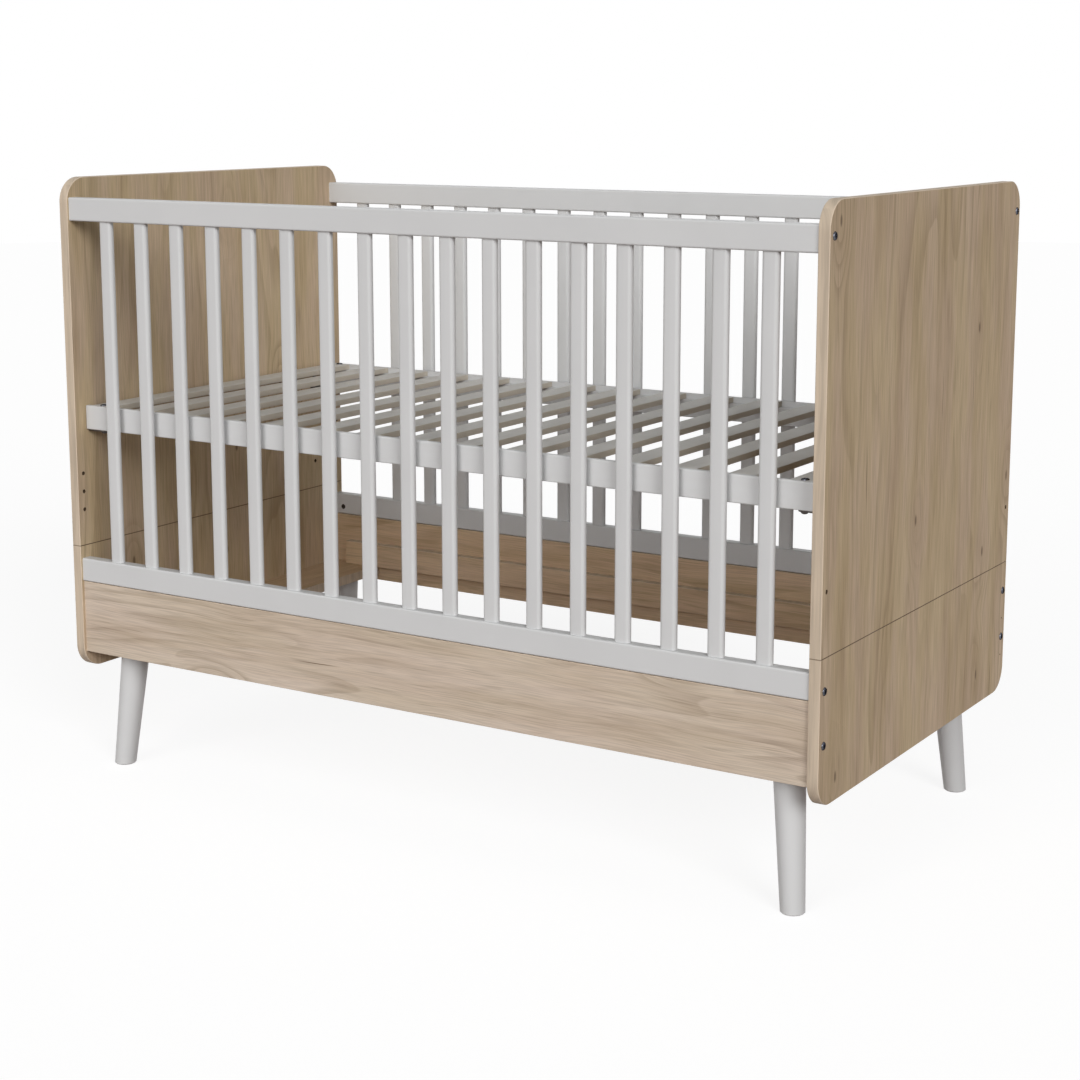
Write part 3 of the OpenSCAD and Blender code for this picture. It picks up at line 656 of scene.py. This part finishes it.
def build_moulding():
    """Straight pieces with a rounded section, one standing on each point."""
    tree, given, result = new_group(
        "Rounded pieces", "GeometryNodeTree",
        [("Geometry", "NodeSocketGeometry", None), ("Width", "NodeSocketFloat", 27 * MM),
         ("Thickness", "NodeSocketFloat", 12 * MM), ("Length", "NodeSocketFloat", 0.6),
         ("Edge", "NodeSocketFloat", 6 * MM), ("Edge steps", "NodeSocketInt", 8),
         ("Material", "NodeSocketMaterial", None)],
        [("Geometry", "NodeSocketGeometry")])
    size = given.outputs
    outline = put(tree, "GeometryNodeCurvePrimitiveQuadrilateral",
                  {"Width": size["Width"], "Height": size["Thickness"]}, mode="RECTANGLE")
    rounded = put(tree, "GeometryNodeFilletCurve",
                  {0: outline.outputs[0], "Radius": size["Edge"], "Count": size["Edge steps"],
                   "Limit Radius": True}, mode="POLY").outputs[0]
    section = put(tree, "GeometryNodeFillCurve", {0: rounded}, mode="NGONS").outputs[0]
    drawn = put(tree, "GeometryNodeExtrudeMesh",
                {"Mesh": section, "Offset": combine(tree, z=size["Length"]),
                 "Offset Scale": 1.0, "Individual": False}, mode="FACES").outputs[0]
    foot = put(tree, "GeometryNodeFlipFaces", {0: section}).outputs[0]
    closed = put(tree, "GeometryNodeMergeByDistance",
                 {"Geometry": joined(tree, foot, drawn), "Distance": 0.01 * MM}).outputs[0]
    placed = stand_on_points(tree, size["Geometry"], closed)
    finish_tree(tree, placed, result, size["Material"])
    return tree


def profile_curve(tree, share, points):
    """A Float Curve through straight-sided points; returns its value."""
    node = put(tree, "ShaderNodeFloatCurve", {"Value": share})
    curve = node.mapping.curves[0]
    while len(curve.points) < len(points):
        curve.points.new(0.5, 0.5)
    for point, (at, level) in zip(curve.points, points):
        point.location = (at, level)
        point.handle_type = "VECTOR"
    node.mapping.use_clip = False
    node.mapping.update()
    return node.outputs[0]


def build_turned(name, rows):
    """Turned fittings, one on each point.

    Each row is (share of the radius, share of the height, share of hexagon), from the
    rim over the head to the middle.
    """
    tree, given, result = new_group(
        name, "GeometryNodeTree",
        [("Geometry", "NodeSocketGeometry", None), ("Radius", "NodeSocketFloat", 6.25 * MM),
         ("Height", "NodeSocketFloat", 2.4 * MM), ("Sides", "NodeSocketInt", 36),
         ("Shank radius", "NodeSocketFloat", 3 * MM),
         ("Shank length", "NodeSocketFloat", 40 * MM),
         ("Material", "NodeSocketMaterial", None)],
        [("Geometry", "NodeSocketGeometry")])
    size = given.outputs
    last = len(rows) - 1
    sheet = put(tree, "GeometryNodeMeshGrid",
                {"Size X": 1.0, "Size Y": 1.0,
                 "Vertices X": calc(tree, "ADD", size["Sides"], 1.0),
                 "Vertices Y": len(rows)}).outputs[0]
    x, y, _ = split(tree, put(tree, "GeometryNodeInputPosition").outputs[0])
    around = calc(tree, "MULTIPLY", calc(tree, "ADD", x, 0.5), 2 * math.pi)
    share = calc(tree, "ADD", y, 0.5)
    reach, rise, hexed = (
        profile_curve(tree, share, [(i / last, row[k]) for i, row in enumerate(rows)])
        for k in range(3))
    sixth = math.pi / 3
    within = calc(tree, "SUBTRACT", calc(tree, "MODULO", around, sixth), sixth / 2)
    flat = calc(tree, "DIVIDE", math.cos(sixth / 2), calc(tree, "COSINE", within))
    flat = calc(tree, "ADD", 1.0, calc(
        tree, "MULTIPLY", hexed, calc(tree, "SUBTRACT", flat, 1.0)))
    radius = calc(tree, "MULTIPLY", calc(tree, "MULTIPLY", reach, size["Radius"]), flat)
    moved = put(tree, "GeometryNodeSetPosition", {
        "Geometry": sheet,
        "Position": combine(tree, calc(tree, "MULTIPLY", radius, calc(tree, "COSINE", around)),
                            calc(tree, "MULTIPLY", radius, calc(tree, "SINE", around)),
                            calc(tree, "MULTIPLY", rise, size["Height"]))}).outputs[0]
    head = put(tree, "GeometryNodeMergeByDistance",
               {"Geometry": moved, "Distance": 0.005 * MM}).outputs[0]
    rod = put(tree, "GeometryNodeMeshCylinder",
              {"Vertices": 16, "Radius": size["Shank radius"],
               "Depth": size["Shank length"]}).outputs[0]
    rod = put(tree, "GeometryNodeTransform", {
        "Geometry": rod,
        "Translation": combine(tree, z=calc(tree, "MULTIPLY", size["Shank length"], -0.5))}
    ).outputs[0]
    placed = stand_on_points(tree, size["Geometry"], joined(tree, head, rod))
    finish_tree(tree, placed, result, size["Material"])
    return tree


# ------------------------------------------------------------------ operators


class CRIB_OT_finishes(Operator):
    """Builds the shared effects and every finish of the crib"""

    bl_idname = "crib.finishes"
    bl_label = "Finishes"

    def execute(self, context):
        finish = context.scene.crib_finish
        build_wood_grain()
        build_board_faces()
        build_board_cuts()
        build_lacquer_skin()
        low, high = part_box("end_panel_right_lower")
        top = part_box("end_panel_right_upper")[1][2]
        cuts = {"Inner": low[0], "Outer": high[0], "Half depth": high[1], "Bottom": low[2],
                "Top": top, "Corner": finish.corner, "Seam": high[2]}
        oak_board("Oak upright", finish, UPRIGHT, X_AXIS, (0.975, 0.965, 0.935), 0.06, cuts)
        # painted light: the front apron's copy is paler and bluer for the light on the front, the
        # inner boards' copy lighter and warmer for the bounce light in the shade inside
        oak_board("Oak lengthwise", finish, LENGTHWISE, Y_AXIS, (1.03, 1.10, 1.28), 0.02)
        oak_board("Oak inner", finish, LENGTHWISE, Y_AXIS, (1.10, 1.04, 1.0), 0.03)
        oak_board("Oak leg board", finish, FRONT_TO_REAR, Z_AXIS, (0.98, 0.91, 0.85), 0.03)
        white_lacquer("White lacquer upright", finish.white, 0.38, 0.0, UPRIGHT)
        white_lacquer("White lacquer lengthwise", finish.white, 0.38, 0.0, LENGTHWISE)
        white_lacquer("Base rail paint", finish.white, 0.5, 0.04, LENGTHWISE)
        # the last tint is painted shade and warm bounce light on the sides of the slats
        white_lacquer("Slat paint", finish.slat, 0.55, 0.10, FRONT_TO_REAR, (0.91, 0.85, 0.76))
        steel("Blackened steel", finish.steel, 0.17, 1.0, 0.08)
        steel("Brown steel", finish.bracket, 0.42, 0.3)
        steel("Zinc plate", finish.zinc, 0.35, 1.0)
        raw_beech("Turned beech", finish.beech)
        return {"FINISHED"}


class CRIB_OT_boards(Operator):
    """Finishes the end panels, aprons, ledgers and leg boards"""

    bl_idname = "crib.boards"
    bl_label = "Oak boards"

    def execute(self, context):
        give("Oak upright", *(f"end_panel_{end}_{half}" for end in ENDS
                              for half in ("upper", "lower")))
        give("Oak lengthwise", "apron_front")
        give("Oak inner", "apron_rear", *(f"ledger_{side}" for side in SIDES))
        give("Oak leg board", *(f"leg_board_{end}" for end in ENDS))
        give("Turned beech", "panel_dowels", "rail_dowels", "apron_dowels")
        return {"FINISHED"}


class CRIB_OT_rails(Operator):
    """Finishes the white rails of the barred sides and of the base"""

    bl_idname = "crib.rails"
    bl_label = "Rails"

    def execute(self, context):
        give("White lacquer lengthwise", *(f"{level}_rail_{side}" for level in ("top", "bottom")
                                           for side in SIDES))
        give("Base rail paint", *(f"base_rail_{side}" for side in SIDES))
        return {"FINISHED"}


class CRIB_OT_bars(Operator):
    """Makes both rows of bars with rounded edges"""

    bl_idname = "crib.bars"
    bl_label = "Bars"

    def execute(self, context):
        tree = build_moulding()
        for side in SIDES:
            found = solids(f"bars_{side}")
            low, high = found[0]
            feet = [((a.x + b.x) / 2, (a.y + b.y) / 2, a.z) for a, b in found]
            piece = grow(points_object(f"rounded_bars_{side}", feet), tree,
                         width=high.x - low.x, thickness=high.y - low.y,
                         length=high.z - low.z, edge=(high.y - low.y) / 2, edge_steps=8,
                         material=bpy.data.materials["White lacquer upright"])
            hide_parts(f"bars_{side}")
            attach(piece, "frame")
        return {"FINISHED"}


class CRIB_OT_slats(Operator):
    """Makes the slats of the base with eased edges"""

    bl_idname = "crib.slats"
    bl_label = "Slats"

    def execute(self, context):
        tree = bpy.data.node_groups["Rounded pieces"]
        low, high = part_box(SLATS[0])
        starts = [((a.x + b.x) / 2, a.y, (a.z + b.z) / 2) for a, b in map(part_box, SLATS)]
        piece = grow(points_object("painted_slats", starts, [Y_AXIS] * len(starts)), tree,
                     width=high.x - low.x, thickness=high.z - low.z, length=high.y - low.y,
                     edge=context.scene.crib_sizes.slat_edge, edge_steps=3,
                     material=bpy.data.materials["Slat paint"])
        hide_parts(*SLATS)
        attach(piece, "base")
        return {"FINISHED"}


class CRIB_OT_legs(Operator):
    """Finishes the four splayed legs"""

    bl_idname = "crib.legs"
    bl_label = "Legs"

    def execute(self, context):
        give("White lacquer upright", *(f"leg_{corner}" for corner in CORNERS))
        return {"FINISHED"}


class CRIB_OT_fittings(Operator):
    """Makes the bolts and domed nuts and finishes the brackets and nuts"""

    bl_idname = "crib.fittings"
    bl_label = "Fittings"

    def execute(self, context):
        sizes = context.scene.crib_sizes
        give("Zinc plate", "leg_studs", "leg_inserts", "end_inserts", "board_screws")
        give("Blackened steel", "barrel_nuts")
        give("Brown steel", "bracket_bolts", *(f"bracket_{corner}" for corner in CORNERS))
        low, high = solids("base_bolts")[0]
        radius = (high.x - low.x) / 2
        key = sizes.socket / 2 / math.cos(math.pi / 6) / radius
        floor = 1.0 - sizes.socket_deep / sizes.head_high
        # an upright rim, a shoulder that turns in 15 degree steps, a flat top and the socket
        shoulder = [math.radians(15.0 * step) for step in range(7)]
        head = [(1.0, 0.0, 0.0)]
        head += [(0.62 + 0.38 * math.cos(turn), 0.10 + 0.88 * math.sin(turn), 0.0)
                 for turn in shoulder]
        head.append((key + 0.05, 1.0, 0.0))
        head += [(key, 0.98, 1.0), (key * 0.97, 0.91, 1.0), (key * 0.97, floor + 0.05, 1.0),
                 (key * 0.5, floor, 0.5), (0.0, floor - 0.04, 0.0)]
        bolt_tree = build_turned("Domed bolts", head)
        cap = [(1.0, 0.0, 0.0), (1.0, 0.10, 0.0), (0.98, 0.26, 0.0), (0.92, 0.45, 0.0),
               (0.80, 0.66, 0.0), (0.62, 0.84, 0.0), (0.38, 0.955, 0.0), (0.18, 0.99, 0.0),
               (0.0, 1.0, 0.0)]
        self.bolts("panel_bolts", "side_bolts", "frame", bolt_tree, radius, sideways=True)
        self.bolts("base_bolts", "slat_bolts", "base", bolt_tree, radius, sideways=False)
        self.nuts(build_turned("Domed nuts", cap))
        return {"FINISHED"}

    def bolts(self, node, name, body, tree, radius, sideways):
        """Bolts that lie with their heads at the crib's ends, or stand with them on top."""
        sizes = bpy.context.scene.crib_sizes
        height = sizes.head_high
        seats, ways, lengths = [], [], []
        for low, high in solids(node):
            middle = (low + high) / 2
            if sideways:
                side = 1.0 if middle.x > 0 else -1.0
                outer = high.x if side > 0 else low.x
                seats.append((outer - side * height, middle.y, middle.z))
                ways.append((side, 0.0, 0.0))
                lengths.append(high.x - low.x - height)
            else:
                seats.append((middle.x, middle.y, high.z - height))
                ways.append(Z_AXIS)
                lengths.append(high.z - low.z - height)
        piece = grow(points_object(name, seats, ways), tree, radius=radius, height=height,
                     sides=sizes.head_sides, shank_radius=sizes.shank / 2,
                     shank_length=min(lengths),
                     material=bpy.data.materials["Blackened steel"])
        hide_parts(node)
        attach(piece, body)

    def nuts(self, tree):
        """Domed nuts under the brackets of the base."""
        sizes = bpy.context.scene.crib_sizes
        found = solids("base_nuts")
        low, high = found[0]
        seats = [((a.x + b.x) / 2, (a.y + b.y) / 2, b.z) for a, b in found]
        piece = grow(points_object("domed_nuts", seats, [(0.0, 0.0, -1.0)] * len(seats)), tree,
                     radius=(high.x - low.x) / 2, height=high.z - low.z,
                     sides=sizes.nut_sides, shank_radius=sizes.stub / 2,
                     shank_length=sizes.stub_deep,
                     material=bpy.data.materials["Brown steel"])
        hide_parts("base_nuts")
        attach(piece, "base")


class CRIB_OT_stage(Operator):
    """Sets up the pale floor, the soft light and the camera"""

    bl_idname = "crib.stage"
    bl_label = "Studio"

    def execute(self, context):
        scene, studio = context.scene, context.scene.crib_studio
        scene.view_settings.view_transform = "Standard"
        self.floor(scene, studio)
        self.sky(scene, studio.sky)
        self.far_lamp("Key", studio.key, studio.key_turn, studio.key_rise, studio.key_soft)
        self.far_lamp("Fill", studio.fill, studio.fill_turn, studio.fill_rise, studio.fill_soft)
        self.camera(scene, studio)
        return {"FINISHED"}

    def floor(self, scene, studio):
        """A round pale floor that keeps the crib's shadow and meets the backdrop unseen."""
        mesh = bmesh.new()
        bmesh.ops.create_circle(mesh, cap_ends=True, segments=96, radius=studio.floor_reach)
        data = bpy.data.meshes.new("studio_floor")
        mesh.to_mesh(data)
        mesh.free()
        floor = bpy.data.objects.new("studio_floor", data)
        scene.collection.objects.link(floor)
        tree, shader = new_material("Pale floor")
        data.materials.append(bpy.data.materials["Pale floor"])
        shader.inputs["Base Color"].default_value = four(studio.bounce)
        shader.inputs["Roughness"].default_value = 0.9
        seen = straight_view(tree)
        soft = put(tree, "ShaderNodeBsdfDiffuse", {"Color": four([studio.floor_lit] * 3)})
        glow = put(tree, "ShaderNodeEmission", {"Strength": studio.floor_glow})
        shown = put(tree, "ShaderNodeAddShader", {0: soft.outputs[0], 1: glow.outputs[0]})
        choice = put(tree, "ShaderNodeMixShader",
                     {0: seen, 1: shader.outputs[0], 2: shown.outputs[0]})
        feed(tree, tree.nodes["Material Output"].inputs["Surface"], choice.outputs[0])

    def sky(self, scene, strength):
        """Even light from all round, and white where the camera sees it."""
        world = bpy.data.worlds.new("Studio")
        scene.world = world
        world.use_nodes = True
        tree = world.node_tree
        glow = tree.nodes["Background"]
        glow.inputs["Color"].default_value = (1.0, 1.0, 1.0, 1.0)
        seen = straight_view(tree)
        feed(tree, glow.inputs["Strength"],
             put(tree, "ShaderNodeMapRange", {0: seen, 3: strength, 4: 1.0}).outputs[0])

    def far_lamp(self, name, strength, turn, rise, softness):
        """A wide lamp far away, which lights both ends of the crib alike."""
        data = bpy.data.lights.new(name, "SUN")
        data.energy, data.angle = strength, softness
        lamp = bpy.data.objects.new(name, data)
        bpy.context.scene.collection.objects.link(lamp)
        lamp.rotation_euler = (math.pi / 2 - rise, 0.0, turn)

    def camera(self, scene, studio):
        """The camera in front of the right corner, a little above the top rails."""
        data = bpy.data.cameras.new("Camera")
        data.sensor_width = 36.0
        data.lens = studio.lens
        data.shift_x, data.shift_y = studio.camera_shift
        data.clip_start, data.clip_end = 0.1, 60.0
        camera = bpy.data.objects.new("Camera", data)
        scene.collection.objects.link(camera)
        camera.location = studio.camera_place
        camera.rotation_euler = (math.pi / 2 - studio.camera_dip, 0.0, studio.camera_turn)
        scene.camera = camera


# ------------------------------------------------------------------ panel and run


class CRIB_PT_panel(Panel):
    """The crib's pieces, one button each, with their sizes and colours"""

    bl_idname = "CRIB_PT_panel"
    bl_label = "Baby crib"
    bl_space_type = "VIEW_3D"
    bl_region_type = "UI"
    bl_category = "Crib"

    def draw(self, context):
        column = self.layout.column(align=True)
        for operator in OPERATORS:
            column.operator(operator.bl_idname)
        for group in (context.scene.crib_sizes, context.scene.crib_finish,
                      context.scene.crib_studio):
            box = self.layout.box()
            for name in group.__annotations__:
                box.prop(group, name)


OPERATORS = (CRIB_OT_finishes, CRIB_OT_boards, CRIB_OT_rails, CRIB_OT_bars, CRIB_OT_slats,
             CRIB_OT_legs, CRIB_OT_fittings, CRIB_OT_stage)
GROUPS = {"crib_sizes": CribSizes, "crib_finish": CribFinish, "crib_studio": CribStudio}


def register():
    """Registers the properties, operators and panel."""
    for cls in (*GROUPS.values(), *OPERATORS, CRIB_PT_panel):
        bpy.utils.register_class(cls)
    for name, group in GROUPS.items():
        setattr(bpy.types.Scene, name, PointerProperty(type=group))


def unregister():
    """Takes them away again."""
    for name in GROUPS:
        delattr(bpy.types.Scene, name)
    for cls in (CRIB_PT_panel, *reversed(OPERATORS), *GROUPS.values()):
        bpy.utils.unregister_class(cls)


def main():
    """Dresses the crib."""
    register()
    for operator in OPERATORS:
        family, verb = operator.bl_idname.split(".")
        if getattr(getattr(bpy.ops, family), verb)() != {"FINISHED"}:
            raise RuntimeError(f"{operator.bl_label} did not finish")


if __name__ == "__main__":
    main()
